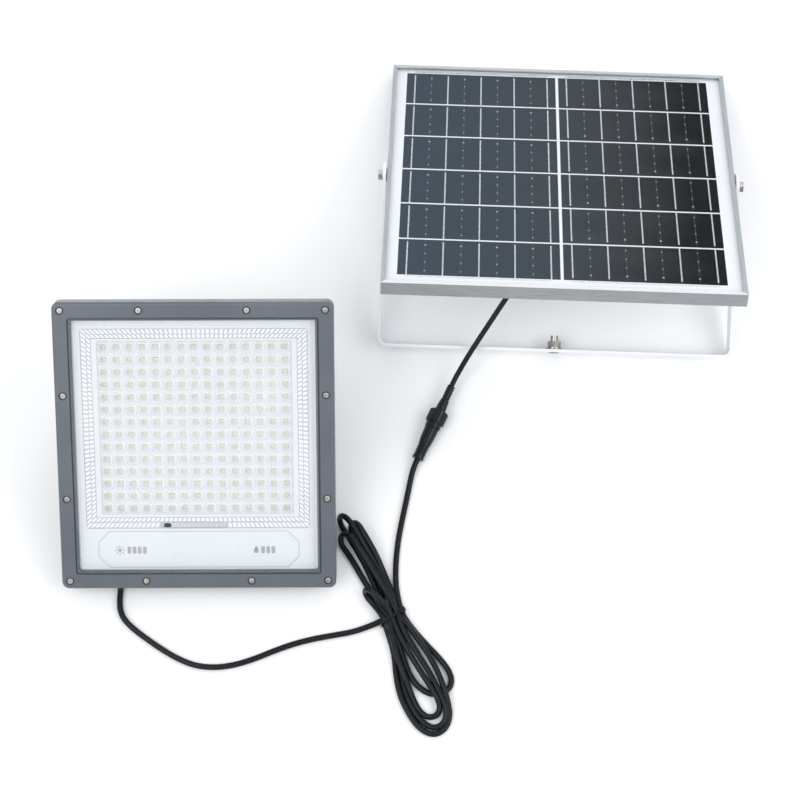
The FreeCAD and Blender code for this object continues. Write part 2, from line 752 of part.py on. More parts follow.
def plug_body():
    profile = [(0, 0), (0, 3.9)]
    for rib in range(5):
        start = 1.6 + 3.0 * rib
        profile += [(start, 3.95), (start, 3.3), (start + 1.3, 3.3), (start + 1.3, 4.1)]
    profile += [(JOIN - 12.0, 4.5), (JOIN - 0.5, 5.5), (JOIN + 3.2, 5.5), (JOIN + 3.2, 7.3)]
    profile += [(JOIN + 5.4, 7.3), (JOIN + 5.4, 4.4), (JOIN + 12.0, 4.4), (JOIN + 12.0, 0)]
    return revolved(profile, PLUG_START, plug_axis())


def coupling_nut():
    profile = [(JOIN, 5.8), (JOIN, 8.8), (JOIN + 1.2, 9.8), (JOIN + 12.4, 9.8), (JOIN + 13.4, 8.9)]
    profile += [(JOIN + 13.4, 8.15), (JOIN + 3.0, 8.15), (JOIN + 3.0, 5.8)]
    nut = revolved(profile, PLUG_START, plug_axis())
    grooves = []
    for index in range(12):
        groove = Part.makeCylinder(1.1, 16.0, V(10.3, 0, JOIN - 1.0), Z_AXIS)
        groove.rotate(V(0, 0, 0), Z_AXIS, 30.0 * index)
        seat = FreeCAD.Placement(PLUG_START, FreeCAD.Rotation(Z_AXIS, plug_axis()))
        groove.Placement = seat * groove.Placement
        grooves.append(groove)
    return cut_all(nut, grooves)


def seal_ring():
    profile = [(JOIN + 5.4, 4.5), (JOIN + 5.4, 6.6), (JOIN + 6.9, 6.6), (JOIN + 6.9, 4.5)]
    return revolved(profile, PLUG_START, plug_axis())


def socket_body():
    length = (PLUG_END - PLUG_START).Length
    profile = [(JOIN + 6.9, 4.5), (JOIN + 6.9, 7.9), (JOIN + 18.5, 7.9), (JOIN + 18.5, 6.5)]
    profile += [(JOIN + 20.0, 6.5), (JOIN + 20.0, 7.2), (JOIN + 31.0, 6.8), (JOIN + 38.2, 5.9)]
    for rib in range(4):
        start = JOIN + 39.3 + 3.0 * rib
        profile += [(start, 5.8), (start, 4.6), (start + 1.3, 4.6), (start + 1.3, 5.6)]
    profile += [(length - 2.5, 5.4), (length - 2.5, 5.9), (length, 5.9), (length, 0)]
    profile += [(JOIN + 13.0, 0), (JOIN + 13.0, 4.5)]
    return revolved(profile, PLUG_START, plug_axis())


# ---- cords ----
def cord_wire(points):
    edges = []
    radii = []
    at = points[0]
    for before, corner, after in zip(points, points[1:], points[2:]):
        run_in = (corner - before).Length
        run_out = (after - corner).Length
        tangent = ARC_SHARE * min(run_in, run_out)
        back = (before - corner).normalize()
        ahead = (after - corner).normalize()
        half_turn = (math.pi - back.getAngle(ahead)) / 2
        radius = tangent / math.tan(half_turn)
        centre = corner + (back + ahead).normalize() * (radius / math.cos(half_turn))
        middle = centre + (corner - centre).normalize() * radius
        start = corner + back * tangent
        end = corner + ahead * tangent
        edges.append(Part.LineSegment(at, start).toShape())
        edges.append(Part.Arc(start, middle, end).toShape())
        at = end
        radii.append(radius)
    edges.append(Part.LineSegment(at, points[-1]).toShape())
    return Part.Wire(edges), radii


def cord_tube(name, points, radius):
    wire, radii = cord_wire(points)
    ring = Part.Wire(Part.makeCircle(radius, points[0], points[1] - points[0]))
    tube = wire.makePipeShell([ring], True, False)
    ideal = math.pi * radius * radius * wire.Length
    print(name, "length", round(wire.Length, 1), "radii", [round(r, 1) for r in radii],
          "volume ratio", round(tube.Volume / ideal, 4))
    return tube


def in_tie_frame(shape):
    shape.rotate(V(0, 0, 0), Z_AXIS, TIE_ANGLE)
    shape.translate(V(TIE_MID[0], TIE_MID[1], 0))
    return shape


def cable_tie():
    outer = block(0, 0, TIE_SPAN + 2 * TIE_THICK, TIE_WIDTH, 0, HANK_HEIGHT + TIE_THICK)
    inner = block(0, 0, TIE_SPAN, TIE_WIDTH + 2, TIE_THICK, HANK_HEIGHT)
    head = block(TIE_SPAN / 2 - 2, 0, 5.0, 5.0, HANK_HEIGHT + TIE_THICK, HANK_HEIGHT + TIE_THICK + 2.5)
    return in_tie_frame(fuse_all([outer.cut(inner), head]))


def cable_hank():
    points = [V(x, y, 0) for x, y in HANK_OUTLINE]
    outline = Part.makePolygon(points + [points[0]])
    solid = Part.Face(outline).extrude(V(0, 0, HANK_HEIGHT))
    waist = in_tie_frame(block(0, 0, 60, TIE_WIDTH + 0.02, -1, HANK_HEIGHT + 10))
    core = in_tie_frame(block(0, 0, TIE_SPAN, TIE_WIDTH + 0.04, TIE_THICK, HANK_HEIGHT))
    return solid.cut(waist).fuse(core).removeSplitter()


# ---- placing ----
def leaning(tilt, yaw):
    turn = FreeCAD.Rotation(Z_AXIS, yaw).multiply(FreeCAD.Rotation(X_AXIS, tilt))
    return FreeCAD.Placement(V(0, 0, 0), turn)


def placed(shape, placement):
    result = shape.copy()
    result.Placement = placement.multiply(result.Placement)
    return result


def set_down(shapes, tilt, yaw, middle):
    # lean the group, then lower it until it touches the surface
    placement = leaning(tilt, yaw)
    lowest = min(placed(shape, placement).optimalBoundingBox().ZMin for shape in shapes)
    placement.Base = V(middle[0], middle[1], -lowest)
    return placement


def stand_angle(pivot_height, arm, strip):
    # slope of the arms when the strip's lower corner touches the surface
    reach = math.hypot(arm, strip[0] / 2)
    return math.degrees(math.asin(pivot_height / reach) - math.atan2(strip[0] / 2, arm))


def bracket_placement(place, pivot_local, arm, strip, towards_front, yaw):
    pivot = place.multVec(pivot_local)
    slope = stand_angle(pivot.z, arm, strip)
    turn = slope if towards_front else 180 - slope
    spin = FreeCAD.Rotation(Z_AXIS, yaw).multiply(FreeCAD.Rotation(X_AXIS, turn))
    return FreeCAD.Placement(pivot, spin), slope


# ---- the whole kit ----
def light_nodes():
    return {
        "front_bezel": front_bezel(),
        "bezel_screws": bezel_screws(),
        "front_glass": front_glass(),
        "front_gasket": front_gasket(),
        "lens_plate": lens_plate(),
        "led_board": led_board(),
        "led_chips": led_chips(),
        "heat_spreader": heat_spreader(),
        "indicator_board": indicator_board(),
        "indicator_leds": indicator_leds(),
        "ir_receiver": ir_receiver(),
        "battery_cells": battery_cells(),
        "battery_holder": battery_holder(),
        "controller_board": controller_board(),
        "controller_parts": controller_parts(),
        "rear_housing": rear_housing(),
        "breather_vent": breather_vent(),
        "light_gland": light_gland(),
        "light_gland_nut": light_gland_nut(),
    }


def panel_nodes():
    return {
        "frame_top_rail": frame_rail(),
        "frame_left_rail": side_rail(90),
        "frame_bottom_rail": turned(frame_rail(), 180),
        "frame_right_rail": side_rail(270),
        "frame_corner_keys": corner_keys(),
        "panel_glass": panel_glass(),
        "solar_cells": solar_cells(),
        "cell_ribbons": cell_ribbons(),
        "panel_backsheet": panel_backsheet(),
        "junction_box": junction_box(),
        "junction_box_lid": junction_lid(),
        "junction_box_lid_screws": junction_lid_screws(),
        "junction_box_diode": junction_diode(),
        "junction_box_gland": junction_gland(),
        "pivot_nut_plates": pivot_nut_plates(),
    }


def kit():
    light = light_nodes()
    panel = panel_nodes()
    light_place = set_down([light["rear_housing"], light["front_bezel"]], LIGHT_TILT, LIGHT_YAW, LIGHT_MID)
    panel_place = set_down([panel["frame_top_rail"]], PANEL_TILT, PANEL_YAW, PANEL_MID)
    nodes = {}
    for name, shape in light.items():
        nodes[name] = placed(shape, light_place)
    for name, shape in panel.items():
        nodes[name] = placed(shape, panel_place)

    light_pivot = V(0, 0, LIGHT_PIVOT_Z)
    bracket_place, slope = bracket_placement(light_place, light_pivot, LIGHT_ARM, LIGHT_STRIP, False,
                                             LIGHT_YAW)
    describe("light", light_place, bracket_place, slope, LIGHT_TILT + slope, LIGHT_ARM)
    arm_face = LIGHT_INNER_W / 2 + LIGHT_STRIP[1]
    nodes["light_bracket"] = placed(light_bracket(), bracket_place)
    nodes["light_pivot_washers"] = placed(side_washers(arm_face, 1.2, 6.2, 3.02), bracket_place)
    bolts = pivot_bolts(arm_face + 1.2, 4.0, BODY_W / 2 - 2, 3.0)
    nodes["light_pivot_bolts"] = placed(bolts, bracket_place)

    panel_pivot = V(0, 0, PANEL_PIVOT_Z)
    bracket_place, slope = bracket_placement(panel_place, panel_pivot, PANEL_ARM, PANEL_STRIP, True,
                                             PANEL_YAW)
    describe("panel", panel_place, bracket_place, slope, -PANEL_TILT + slope, PANEL_ARM)
    arm_face = PANEL_INNER_W / 2 + PANEL_STRIP[1]
    nodes["panel_bracket"] = placed(panel_bracket(), bracket_place)
    spacer = PANEL_INNER_W / 2 - PANEL_SIZE / 2 - 0.1
    nodes["panel_pivot_spacers"] = placed(side_washers(PANEL_SIZE / 2, spacer, 6.5, 3.02), bracket_place)
    nodes["panel_pivot_washers"] = placed(side_washers(arm_face, 1.2, 6.2, 3.02), bracket_place)
    bolts = pivot_bolts(arm_face + 1.2, 4.0, PANEL_SIZE / 2 - FRAME_WALL - 3.0, 3.0)
    nodes["panel_pivot_bolts"] = placed(bolts, bracket_place)
    nodes["centre_bolt"] = placed(centre_bolt(), bracket_place)
    nodes["centre_washers"] = placed(centre_washers(), bracket_place)
    nodes["centre_nut"] = placed(centre_nut(), bracket_place)

    nodes["plug_body"] = plug_body()
    nodes["coupling_nut"] = coupling_nut()
    nodes["seal_ring"] = seal_ring()
    nodes["socket_body"] = socket_body()
    hank = cable_hank()
    nodes["cable_hank"] = hank
    nodes["cable_tie"] = cable_tie()
    nodes["panel_cable"] = cord_tube("panel_cable", PANEL_CORD_ROUTE, PANEL_CORD_R)
    nodes["socket_cable"] = cord_tube("socket_cable", SOCKET_CORD_ROUTE, LIGHT_CORD_R).cut(hank)
    nodes["lamp_cable"] = cord_tube("lamp_cable", LAMP_CORD_ROUTE, LIGHT_CORD_R).cut(hank)
    return nodes


def describe(name, place, bracket_place, slope, opening, arm):
    rounded = [round(value, 3) for value in place.Base]
    print(name, "face middle", rounded, "arm slope", round(slope, 2), "bracket to face", round(opening, 2))
    print(name, "pivot", [round(value, 3) for value in bracket_place.Base],
          "pivot axis", [round(value, 5) for value in bracket_place.Rotation.multVec(X_AXIS)],
          "base face", [round(value, 3) for value in bracket_place.multVec(V(0, -arm, 0))],
          "base normal", [round(value, 5) for value in bracket_place.Rotation.multVec(-Y_AXIS)])


def main():
    os.makedirs("parts", exist_ok=True)
    nodes = kit()
    for name, shape in nodes.items():
        if not shape.isValid() or not shape.Solids:
            print("BAD SHAPE", name)
        shape.exportStep(os.path.join("parts", name + ".step"))
    print(len(nodes), "nodes,", sum(len(shape.Solids) for shape in nodes.values()), "solids")


main()
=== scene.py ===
# Looks for the solar flood light kit: finishes, cords, the light's face and the panel's face.
import bpy
import math
from mathutils import Matrix, Vector


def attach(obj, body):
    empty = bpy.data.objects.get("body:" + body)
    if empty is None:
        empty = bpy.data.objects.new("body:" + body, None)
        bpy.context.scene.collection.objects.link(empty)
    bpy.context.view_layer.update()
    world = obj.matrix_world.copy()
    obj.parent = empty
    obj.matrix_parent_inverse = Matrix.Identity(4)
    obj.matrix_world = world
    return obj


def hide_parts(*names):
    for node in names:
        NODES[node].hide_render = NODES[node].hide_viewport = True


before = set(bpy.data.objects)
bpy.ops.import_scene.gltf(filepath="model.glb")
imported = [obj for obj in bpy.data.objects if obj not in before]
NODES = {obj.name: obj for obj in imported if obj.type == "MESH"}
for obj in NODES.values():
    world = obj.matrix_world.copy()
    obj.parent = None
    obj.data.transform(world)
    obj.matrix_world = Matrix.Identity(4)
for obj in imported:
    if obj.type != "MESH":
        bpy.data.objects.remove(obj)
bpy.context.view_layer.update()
MM = 0.001

# ---- where the light's face and the panel's face lie, as in the CAD source ----
LIGHT = (Matrix.Translation(Vector((-0.2052, -0.1700, 0.102911)))
         @ Matrix.Rotation(math.radians(0.2), 4, "Z")
         @ Matrix.Rotation(math.radians(33.7), 4, "X"))
PANEL = (Matrix.Translation(Vector((0.1522, 0.1270, 0.088614)))
         @ Matrix.Rotation(math.radians(-2.15), 4, "Z")
         @ Matrix.Rotation(math.radians(-25.4), 4, "X"))

# ---- light face, in millimetres ----
PLATE_TOP = -6.85
PLATE_W, PLATE_H = 233.0, 250.0
LED_COLUMNS, LED_ROWS = 15, 14
LED_PITCH = (12.29, 12.22)
LED_MID_Y = 17.2
FIELD = (97.6, 105.2, -71.0)  # half width, back, front, as in HATCH
HATCH = (107.6, 114.5, -82.2)
HATCH_PITCH = 4.3
HATCH_ROWS = ((0.26, 0.46), (0.76, 0.38))  # place across the band, rib length as a share of it
HATCH_SIDE_STRETCH = 1.06
RIB_HALF = 1.45
RIB_AIM = (6.0, 20.0)  # the point that every rib leans towards
RIB_LEAN_MAX = 1.15
RIB_PROFILE = (  # share of the width, inset at the ends, height
    (1.0, 0.0, -0.74), (1.0, 0.0, -0.45), (0.72, 0.35, -0.12), (0.35, 0.8, -0.10),
)
LENS_PROFILE = (  # half width, half height, shift up, squareness, depth below the plate's top
    (LED_PITCH[0] / 2, LED_PITCH[1] / 2, 0.0, 60, 1.5),
    (5.3, 5.3, 0.0, 6, 1.4), (5.0, 5.0, 0.0, 5, 0.8),
    (4.2, 4.1, 0.1, 4, 0.35), (3.1, 2.7, 0.5, 2.4, 0.15), (1.7, 1.5, 0.5, 2, 0.5),
)
WINDOW = (-36.0, 27.0, -82.1, -76.4)  # left, right, front, back
WINDOW_DEPTH = 0.7
WINDOW_BUMPS = 22
PLAQUE = (97.5, -122.2, -84.8)  # half width, front, back
PLAQUE_PROFILE = (  # inset, chamfer, height
    (0.0, 11.0, 0.005), (0.25, 10.9, 0.045), (0.8, 10.7, 0.045), (1.1, 10.6, 0.02),
)
MARK_HEIGHTS = (0.02, 0.055)
MARK_Y = -104.3
SUN_X, DROP_X = -76.5, 55.5
RAY_REACH = 3.9
BAR_PITCH = 5.0

# ---- panel face, in millimetres ----
CELL_W, CELL_H = 157.0, 52.3
CELL_GAP = (3.0, 2.0)
CELL_ROWS = 6
CELLS_MID = (-1.5, 4.0)
LINE_STEPS = 18.0  # tinned and bare lines alternate across a cell in eighteenths of its width
RIBBONS = 5
RIBBON_WIDTH = 1.35
RIBBON_SHORT = 3.2
RIBBON_OVERHANG = 0.8
DOTS = 4
DOT_FIRST = 8.0
DOT_PITCH = 12.6
CELL_LEVELS = (-4.05, -3.95, -3.92)
BUSBAR_HALVES = (0.22, 0.18)
BUSBAR_LEVELS = (-3.925, -3.905)
BUSBAR_INSET = 1.2
DOT_LEVELS = (-3.92, -3.885)
RIBBON_LEVELS = (-3.905, -3.83, -3.78)

# ---- cords, in millimetres ----
PANEL_CORD_R, LAMP_CORD_R = 2.7, 2.9
PANEL_CORD = [
    (145.8, 89.9, 91.7), (145.3, 77.3, 97.7), (140.8, 61.5, 99.0), (131.5, 46.0, 94.0),
    (119.5, 30.0, 84.0), (107.0, 15.0, 72.5), (94.4, -0.2, 60.5), (78.7, -21.0, 48.0),
    (66.5, -37.1, 38.0), (57.4, -48.9, 28.2), (50.0, -59.2, 18.8), (45.4, -66.5, 14.9),
    (41.7, -74.6, 14.1),
]
LAMP_RUN = [
    (-283.84, -273.178, 8.441), (-283.82, -278.62, 4.81), (-284.0, -285.0, 2.9),
    (-284.4, -294.5, 2.9), (-283.4, -304.5, 2.9), (-278.8, -313.6, 2.9), (-268.7, -323.3, 2.9),
    (-248.7, -337.9, 2.9),
    (-228.8, -350.5, 2.9), (-209.1, -358.9, 2.9), (-189.7, -360.9, 2.9), (-170.4, -358.3, 2.9),
    (-151.2, -352.2, 2.9), (-131.9, -344.0, 2.9), (-112.6, -337.0, 2.9), (-93.3, -332.1, 2.9),
    (-73.8, -328.6, 2.9), (-55.5, -325.3, 2.9), (-42.0, -320.5, 2.9), (-31.0, -316.0, 3.2),
    (-21.5, -310.5, 3.9), (-15.0, -302.5, 3.9),
]
HANK_RUN = [
    # up the right strand of the third upper loop, round its tip and back to the tie
    (-15.0, -293.0, 3.2), (-20.8, -279.1, 4.0), (-27.7, -262.5, 7.0), (-33.0, -251.0, 11.0),
    (-39.5, -239.5, 15.5), (-46.0, -229.0, 18.8), (-51.0, -221.0, 19.2), (-55.8, -217.4, 14.6),
    (-58.9, -218.9, 7.8), (-58.0, -225.3, 3.1), (-52.5, -233.3, 2.9), (-44.8, -244.0, 2.9),
    (-37.5, -256.0, 2.9), (-31.8, -271.0, 2.9), (-28.0, -288.0, 3.2), (-26.2, -304.0, 3.6),
    (-25.0, -316.7, 3.9),
    # first lower loop, the widest
    (-22.5, -325.0, 3.5), (-15.8, -345.6, 2.9), (-14.0, -369.2, 2.9), (-9.9, -389.5, 2.9),
    (-1.0, -407.5, 2.9), (9.0, -421.0, 2.9), (22.5, -427.3, 2.9), (34.0, -420.5, 2.9),
    (38.2, -407.6, 3.6), (36.0, -395.2, 6.5), (32.0, -380.7, 8.7), (26.4, -366.1, 8.7),
    (19.5, -352.5, 8.7), (9.6, -337.0, 8.8), (-2.0, -319.5, 8.0), (-13.0, -307.5, 5.0),
    # second upper loop, the highest
    (-16.0, -296.5, 7.0), (-23.9, -279.5, 7.8), (-33.4, -260.5, 9.5), (-42.5, -245.0, 14.0),
    (-50.5, -231.0, 18.4), (-57.4, -221.0, 20.8), (-63.3, -213.9, 20.6), (-68.0, -210.7, 15.6),
    (-70.1, -212.3, 8.4), (-68.3, -217.7, 3.2), (-63.4, -225.0, 2.9), (-57.9, -234.0, 2.9),
    (-51.0, -246.0, 2.9), (-44.0, -259.0, 3.2), (-36.5, -275.5, 4.5), (-29.0, -294.0, 5.5),
    (-20.0, -313.4, 3.9),
    # second lower loop
    (-15.5, -328.0, 3.4), (-10.4, -347.2, 2.9), (-8.8, -366.0, 2.9), (-5.6, -384.0, 2.9),
    (1.0, -400.0, 2.9), (9.5, -412.5, 2.9), (20.0, -420.0, 2.9), (29.6, -418.0, 3.6),
    (34.6, -409.8, 6.2), (33.6, -399.3, 8.7), (29.0, -388.0, 9.2), (22.2, -374.0, 9.4),
    (13.2, -358.4, 9.0), (2.6, -341.8, 8.8), (-7.0, -325.0, 8.7), (-12.3, -308.3, 8.7),
    # first upper loop, on top
    (-18.0, -297.5, 9.4), (-25.0, -285.0, 11.0), (-34.0, -269.0, 14.0), (-42.5, -255.5, 16.5),
    (-49.5, -245.0, 18.2), (-55.2, -237.0, 19.0), (-61.0, -231.0, 17.8), (-66.2, -229.2, 13.4),
    (-69.0, -231.6, 7.4), (-67.9, -237.5, 3.1), (-62.5, -245.0, 2.9), (-56.5, -254.5, 2.9),
    (-50.0, -266.0, 2.9), (-42.0, -280.5, 3.4), (-30.0, -299.0, 6.5), (-20.2, -313.5, 8.7),
    # third lower loop
    (-18.2, -328.0, 8.7), (-14.2, -346.0, 8.7), (-8.5, -364.0, 8.2), (-1.9, -380.0, 5.5),
    (3.0, -393.0, 3.2), (8.5, -403.5, 2.9), (16.5, -409.7, 2.9), (24.8, -408.4, 3.2),
    (28.8, -401.0, 5.2), (26.2, -392.0, 8.2), (20.8, -383.0, 9.0), (13.4, -371.5, 9.0),
    (5.0, -358.2, 8.8), (-4.2, -342.3, 8.7), (-12.6, -326.0, 8.7), (-17.6, -311.5, 8.7),
    # short upper loop beside the tie
    (-22.0, -304.0, 11.5), (-27.4, -298.6, 16.5), (-33.4, -292.6, 19.6), (-39.4, -287.6, 19.0),
    (-43.4, -285.4, 14.4), (-44.4, -286.9, 8.4), (-42.0, -291.2, 3.8), (-36.5, -297.6, 3.6),
    (-30.0, -306.0, 5.6), (-24.6, -316.3, 8.7),
    # fourth lower loop, the shortest, then up to the socket
    (-14.5, -331.0, 7.0), (-9.0, -345.0, 4.5), (-4.8, -358.0, 3.2), (-0.4, -369.0, 2.9),
    (8.6, -381.5, 2.9), (21.5, -388.0, 2.9), (33.5, -385.5, 2.9), (40.5, -376.5, 2.9),
    (37.8, -364.0, 2.9), (27.2, -350.3, 3.2), (12.5, -335.0, 3.4), (0.5, -320.5, 3.6),
    (-8.0, -308.0, 3.9),
]
SOCKET_RUN = [
    (-11.6, -294.5, 3.2), (-14.2, -279.0, 2.9), (-14.5, -263.0, 2.9), (-13.6, -247.2, 2.9),
    (-11.6, -230.7, 2.9), (-8.6, -214.3, 2.9), (-5.1, -197.7, 2.9), (-1.8, -181.2, 2.9),
    (1.0, -167.0, 4.2), (3.7, -157.2, 6.0), (7.4, -149.2, 6.8),
]


# ---- node materials ----
MIX_FIRST, MIX_SECOND, MIX_RESULT = 6, 7, 2  # the mix node's colour sockets


class Finish:
    """A principled material whose colour, roughness and relief come from procedural nodes."""

    def __init__(self, name, **sockets):
        self.material = bpy.data.materials.new(name)
        self.material.use_nodes = True
        self.tree = self.material.node_tree
        self.shader = self.tree.nodes["Principled BSDF"]
        for socket, value in sockets.items():
            self.shader.inputs[socket.replace("_", " ")].default_value = value
        self.place = self.add("ShaderNodeTexCoord").outputs["Object"]

    def add(self, kind, inputs=None, **settings):
        node = self.tree.nodes.new(kind)
        for key, value in settings.items():
            setattr(node, key, value)
        for key, value in (inputs or {}).items():
            if isinstance(value, bpy.types.NodeSocket):
                self.tree.links.new(value, node.inputs[key])
            else:
                node.inputs[key].default_value = value
        return node

    def link(self, output, socket):
        self.tree.links.new(output, self.shader.inputs[socket])

    def stretched(self, scale):
        node = self.add("ShaderNodeMapping", {"Vector": self.place, "Scale": scale})
        return node.outputs["Vector"]

    def noise(self, scale, detail=3.0, stretch=(1, 1, 1)):
        vector = self.stretched(stretch)
        node = self.add("ShaderNodeTexNoise", {"Vector": vector, "Scale": scale, "Detail": detail})
        return node.outputs["Fac"]

    def math(self, operation, first, second=0.0, third=0.0):
        node = self.add("ShaderNodeMath", {0: first, 1: second, 2: third}, operation=operation)
        return node.outputs[0]

    def ramp(self, factor, stops):
        node = self.add("ShaderNodeValToRGB", {"Fac": factor})
        ramp = node.color_ramp
        while len(ramp.elements) < len(stops):
            ramp.elements.new(0.5)
        for element, (position, colour) in zip(ramp.elements, stops):
            element.position = position
            element.color = (*colour, 1.0)
        return node.outputs["Color"]

    def colour(self, factor, dark, light):
        self.link(self.ramp(factor, [(0.3, dark), (0.7, light)]), "Base Color")

    def mixed_colour(self, factor, first, second):
        """Base colour that runs from a colour output to a plain colour as factor rises."""
        node = self.add("ShaderNodeMix", {MIX_FIRST: first}, data_type="RGBA")
        self.tree.links.new(factor, node.inputs["Factor"])
        node.inputs[MIX_SECOND].default_value = (*second, 1.0)
        self.link(node.outputs[MIX_RESULT], "Base Color")

    def roughness(self, factor, low, high):
        spread = self.add("ShaderNodeMapRange", {"Value": factor, "From Min": 0.3, "From Max": 0.7,
                                                 "To Min": low, "To Max": high})
        self.link(spread.outputs["Result"], "Roughness")

    def relief(self, height, strength, distance):
        bump = self.add("ShaderNodeBump",
                        {"Height": height, "Strength": strength, "Distance": distance})
        self.link(bump.outputs["Normal"], "Normal")


def painted(name, dark, light, rough, grain=900.0, depth=0.00006, coat=0.0):
    """Paint or moulded plastic with a fine grain; coat adds a clear gloss."""
    finish = Finish(name, Coat_Weight=coat, Coat_Roughness=0.2)
    finish.colour(finish.noise(14.0, 4.0), dark, light)
    finish.roughness(finish.noise(45.0, 3.0), rough - 0.06, rough + 0.08)
    finish.relief(finish.noise(grain, 2.0), 0.25, depth)
    return finish.material


def brushed(name, dark, light, rough, stretch, scale):
    """Metal with a fine mottle, drawn into lines along the axis with the smallest stretch."""
    finish = Finish(name, Metallic=1.0)
    lines = finish.noise(scale, 4.0, stretch)
    finish.colour(lines, dark, light)
    finish.roughness(lines, rough - 0.07, rough + 0.10)
    finish.relief(lines, 0.2, 0.00004)
    return finish.material


def top_highlighted(name, dark, light, highlight_colour, rough):
    """Brushed rail with a painted highlight: faces that point up, as on its upper flange, take the
    highlight colour.
    """
    finish = Finish(name, Metallic=1.0)
    lines = finish.noise(20.0, 4.0, (1, 60, 60))
    facing = finish.add("ShaderNodeTexCoord").outputs["Normal"]
    upward = finish.add("ShaderNodeSeparateXYZ", {"Vector": facing}).outputs["Z"]
    # painted highlight: faces whose object-space normal points up blend into the highlight colour
    highlight_mask = finish.add("ShaderNodeMapRange", {"Value": upward, "From Min": 0.6, "From Max": 0.8})
    sides = finish.ramp(lines, [(0.3, dark), (0.7, light)])
    finish.mixed_colour(highlight_mask.outputs["Result"], sides, highlight_colour)
    finish.roughness(lines, rough - 0.05, rough + 0.08)
    finish.relief(lines, 0.2, 0.00004)
    return finish.material


def rubber(name, dark, light, rough, specular=0.4):
    """Black rubber or plastic with a fine matt grain."""
    finish = Finish(name, Specular_IOR_Level=specular)
    finish.colour(finish.noise(60.0, 3.0), dark, light)
    finish.roughness(finish.noise(200.0, 3.0), rough - 0.05, rough + 0.1)
    finish.relief(finish.noise(1500.0, 2.0), 0.2, 0.00005)
    return finish.material


def clear(name, tint, alpha, rough=0.03):
    """Glass or clear plastic; alpha is how much of it shows."""
    finish = Finish(name, Alpha=alpha, IOR=1.5)
    finish.colour(finish.noise(6.0, 2.0), tint, tuple(min(1.0, c * 1.02) for c in tint))
    finish.roughness(finish.noise(30.0, 2.0), rough, rough + 0.03)
    return finish.material


def silicon():
    """Blue-grey silicon with a random mottle and a painted reflection that darkens it to near black
    towards the panel's right, under fine finger lines.
    """
    finish = Finish("cell_silicon_and_reflection", Specular_IOR_Level=0.08)
    axes = finish.add("ShaderNodeSeparateXYZ", {"Vector": finish.place})
    # painted reflection: a gradient across the panel, on top of the random mottle, runs the cells
    # from blue-grey to near black towards the right
    across = finish.math("MULTIPLY_ADD", axes.outputs["X"], 2.9, 0.5)
    mottle = finish.noise(9.0, 3.0, (1, 3, 1))
    shade = finish.math("MULTIPLY_ADD", mottle, 0.30, finish.math("ADD", across, -0.15))
    tint = finish.ramp(shade, [(0.0, (0.046, 0.066, 0.089)), (0.50, (0.046, 0.058, 0.070)),
                               (0.72, (0.028, 0.032, 0.036)), (0.90, (0.001, 0.002, 0.003))])
    fingers = finish.add("ShaderNodeTexWave", {"Vector": finish.place, "Scale": 190.0},
                         bands_direction="Y")
    faint = finish.math("MULTIPLY", fingers.outputs["Fac"], 0.05)
    finish.mixed_colour(faint, tint, (0.25, 0.26, 0.27))
    finish.roughness(mottle, 0.14, 0.22)
    return finish.material


BEZEL = painted("bezel_grey", (0.088, 0.102, 0.122), (0.113, 0.128, 0.150), 0.34, grain=1400.0,
                coat=0.25)
HOUSING = painted("housing_grey", (0.085, 0.097, 0.116), (0.110, 0.124, 0.145), 0.48, grain=700.0,
                  depth=0.0001)
WHITE_PAINT = painted("bracket_white", (0.78, 0.79, 0.83), (0.86, 0.87, 0.90), 0.35, grain=500.0,
                      coat=0.2)
ZINC = brushed("zinc_plate", (0.50, 0.49, 0.47), (0.74, 0.73, 0.70), 0.27, (1, 1, 1), 260.0)
# Lit and shaded copies of one anodised aluminium: painted shade makes the side rails darker than
# the top rail, and the bottom rail darker still, with a painted highlight on its upward faces.
ANODISED_ACROSS = brushed("anodised_across", (0.60, 0.63, 0.64), (0.74, 0.77, 0.78), 0.36,
                          (1, 60, 60), 20.0)
ANODISED_ALONG_SHADED = brushed("anodised_along_shaded", (0.45, 0.49, 0.51), (0.57, 0.61, 0.63), 0.36,
                         (60, 1, 1), 20.0)
ANODISED_SHADE_AND_HIGHLIGHT = top_highlighted("anodised_shade_and_highlight", (0.27, 0.29, 0.30), (0.38, 0.40, 0.41),
                         (0.96, 0.97, 0.97), 0.34)
BOLT_ZINC = brushed("bolt_zinc", (0.16, 0.15, 0.14), (0.52, 0.50, 0.46), 0.25, (1, 1, 1), 90.0)
SCREW_ZINC = brushed("screw_zinc", (0.34, 0.33, 0.31), (0.66, 0.64, 0.60), 0.28, (1, 1, 1), 260.0)
BLACK_PLASTIC = rubber("black_plastic", (0.008, 0.009, 0.010), (0.016, 0.017, 0.019), 0.42)
CORD_JACKET = rubber("cord_jacket", (0.0050, 0.0062, 0.0080), (0.0095, 0.0115, 0.0145), 0.28,
                     specular=0.22)
PLUG_BLACK = rubber("plug_black", (0.0030, 0.0036, 0.0045), (0.0065, 0.0075, 0.0090), 0.24,
                    specular=0.30)
GASKET = rubber("gasket_rubber", (0.02, 0.02, 0.022), (0.035, 0.035, 0.038), 0.7)
BOARD_WHITE = painted("board_white", (0.83, 0.85, 0.87), (0.90, 0.91, 0.93), 0.5)
PHOSPHOR = painted("led_phosphor", (0.90, 0.83, 0.42), (0.96, 0.90, 0.54), 0.4)
BOARD_GREEN = painted("board_green", (0.02, 0.10, 0.06), (0.03, 0.15, 0.09), 0.35, coat=0.3)
CELL_SLEEVE = painted("cell_sleeve", (0.03, 0.10, 0.28), (0.05, 0.15, 0.36), 0.3)
BACKSHEET = painted("backsheet_white", (0.90, 0.92, 0.96), (0.93, 0.95, 0.98), 0.35, coat=0.4)
